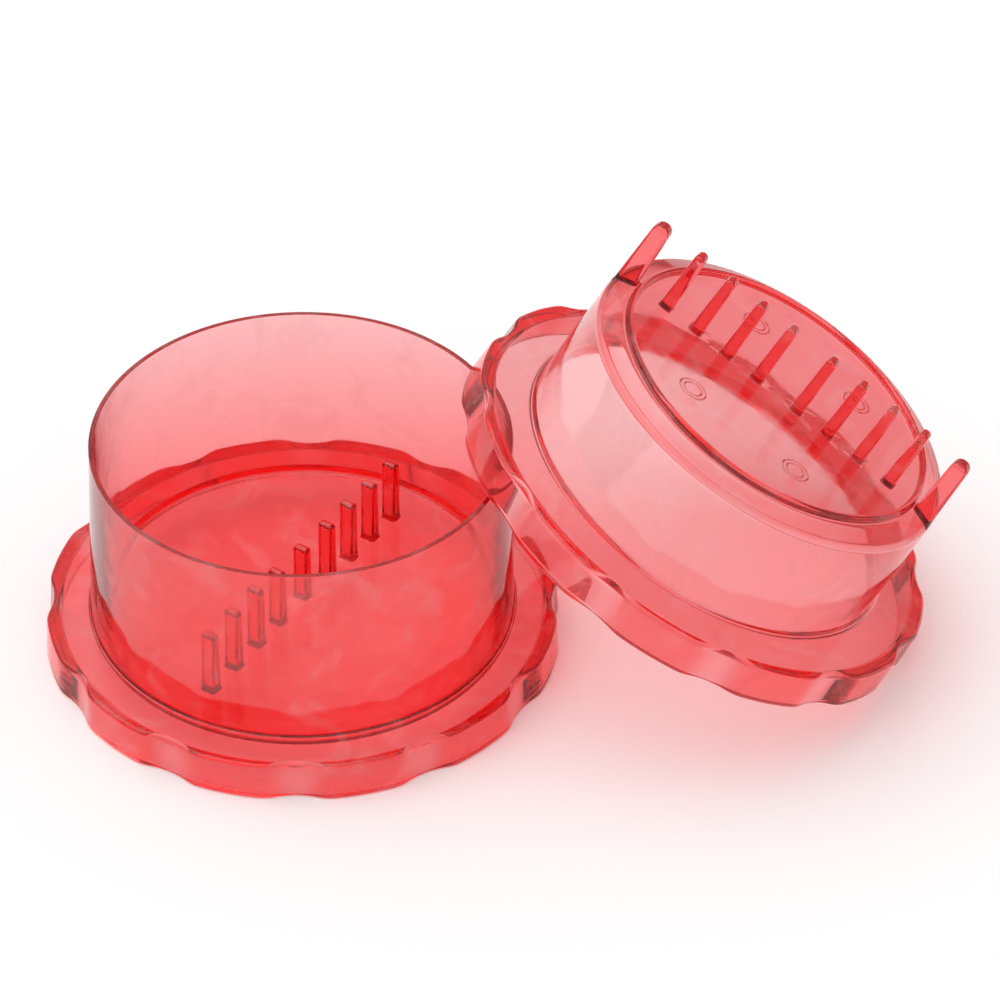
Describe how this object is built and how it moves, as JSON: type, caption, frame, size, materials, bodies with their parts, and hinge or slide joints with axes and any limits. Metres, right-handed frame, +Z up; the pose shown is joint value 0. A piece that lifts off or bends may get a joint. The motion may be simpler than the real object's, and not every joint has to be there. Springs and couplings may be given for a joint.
{
  "type": "hand-twisted nut grinder",
  "caption": "Clear red plastic nut grinder: an open round cup on a scalloped foot, with a matching toothed drum leaning on its rim; twisted together by hand.",
  "frame": {"origin": "on the cup's axis, in the plane of the table that both halves stand on", "axes": "+Z up along the cup's axis; +X towards the top half, which leans away from the cup by 30 degrees about Y"},
  "size_m": [0.1887, 0.107, 0.0882],
  "materials": {
    "clear_red_plastic": "transparent red injection-moulded plastic, polished all over"
  },
  "bodies": {
    "base_half": {"base_skirt": "clear_red_plastic", "base_deck": "clear_red_plastic", "cup_wall": "clear_red_plastic", "cup_floor": "clear_red_plastic", "base_tooth_1": "clear_red_plastic", "base_tooth_2": "clear_red_plastic", "base_tooth_3": "clear_red_plastic", "base_tooth_4": "clear_red_plastic", "base_tooth_5": "clear_red_plastic", "base_tooth_6": "clear_red_plastic", "base_tooth_7": "clear_red_plastic", "base_tooth_8": "clear_red_plastic", "base_tooth_9": "clear_red_plastic"},
    "top_half": {"top_skirt": "clear_red_plastic", "top_deck": "clear_red_plastic", "drum_wall": "clear_red_plastic", "drum_shoulder": "clear_red_plastic", "lip_ring": "clear_red_plastic", "tooth_plate": "clear_red_plastic", "top_tooth_1": "clear_red_plastic", "top_tooth_2": "clear_red_plastic", "top_tooth_3": "clear_red_plastic", "top_tooth_4": "clear_red_plastic", "top_tooth_5": "clear_red_plastic", "top_tooth_6": "clear_red_plastic", "top_tooth_7": "clear_red_plastic", "top_tooth_8": "clear_red_plastic", "end_tooth_1": "clear_red_plastic", "end_tooth_2": "clear_red_plastic"}
  },
  "joints": [
    {"name": "twist", "type": "hinge", "parent": "base_half", "child": "top_half", "pos_m": [0.07929, 0, 0.02685], "axis": [0.5, 0, 0.866], "continuous": true}
  ]
}
